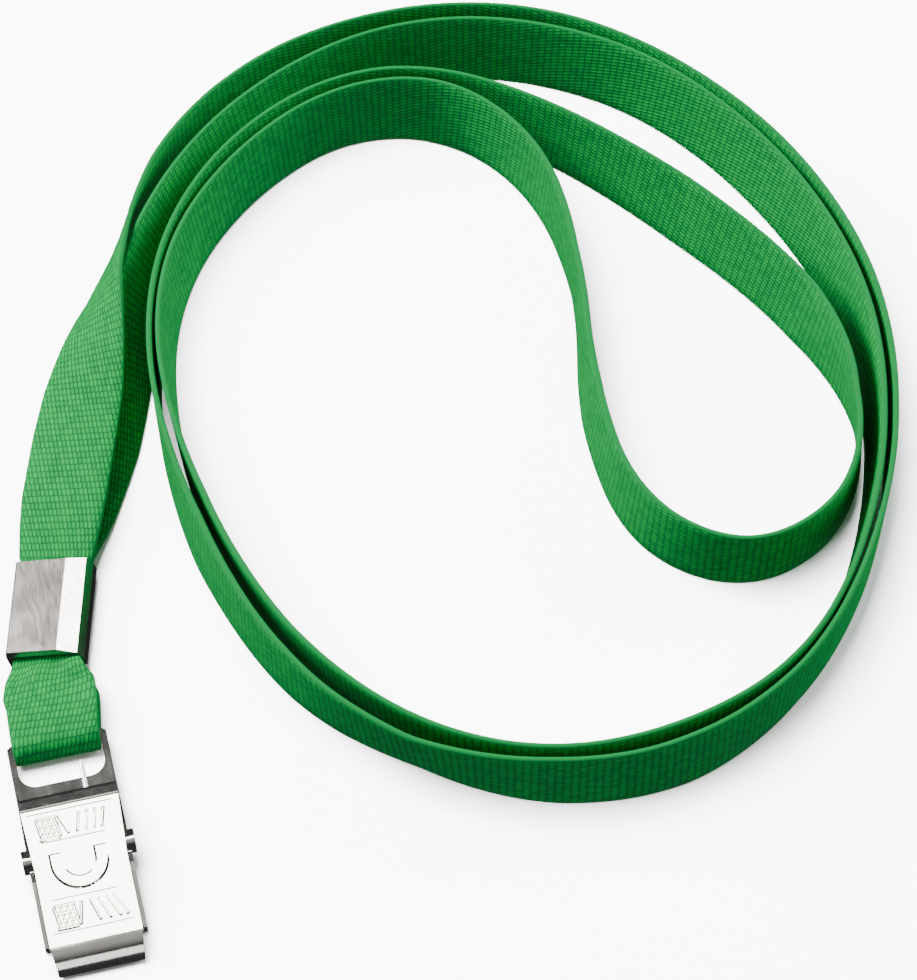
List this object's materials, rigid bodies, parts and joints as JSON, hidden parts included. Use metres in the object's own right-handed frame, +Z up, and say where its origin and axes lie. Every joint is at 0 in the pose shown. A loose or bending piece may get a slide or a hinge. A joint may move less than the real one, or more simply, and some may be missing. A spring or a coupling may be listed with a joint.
{
  "type": "lanyard badge holder",
  "caption": "Flat woven neck ribbon closed by a metal crimp, with a sprung bulldog clip hanging on a small ribbon loop.",
  "frame": {"origin": "centre of the box round the clip, ferrule and small loop, on the surface they lie on", "axes": "+Z is up, +Y runs from the jaw of the clip to the neck ribbon, X is along the hinge pin"},
  "size_m": [0.1145, 0.1208, 0.01],
  "materials": {
    "ribbon": "woven polyester, glossy yarn",
    "ferrule_metal": "satin nickel plate",
    "clip_metal": "bright nickel plate",
    "spring_wire": "bright spring wire"
  },
  "bodies": {
    "strap": {"neck_ribbon": "ribbon", "ribbon_lead_front": "ribbon", "ribbon_lead_back": "ribbon", "ribbon_crimped_layers": "ribbon", "clip_loop_ribbon": "ribbon", "ribbon_loop_ends": "ribbon", "crimp_ferrule": "ferrule_metal"},
    "back_jaw": {"clip_back_plate": "clip_metal", "hinge_pin": "clip_metal", "torsion_spring": "spring_wire"},
    "front_jaw": {"clip_front_plate": "clip_metal"}
  },
  "joints": [
    {"name": "clip_swing", "type": "hinge", "parent": "strap", "child": "back_jaw", "pos_m": [-0.00115, 0.00193, 0.00196], "axis": [1, 0, 0], "range_deg": [-90, 90]},
    {"name": "jaw_open", "type": "hinge", "parent": "back_jaw", "child": "front_jaw", "pos_m": [-0.00115, -0.01335, 0.00368], "axis": [-1, 0, 0], "range_deg": [0, 25], "stiffness_Nm_per_rad": 0.02, "springref_deg": -28.65, "deforming": ["torsion_spring"]}
  ]
}
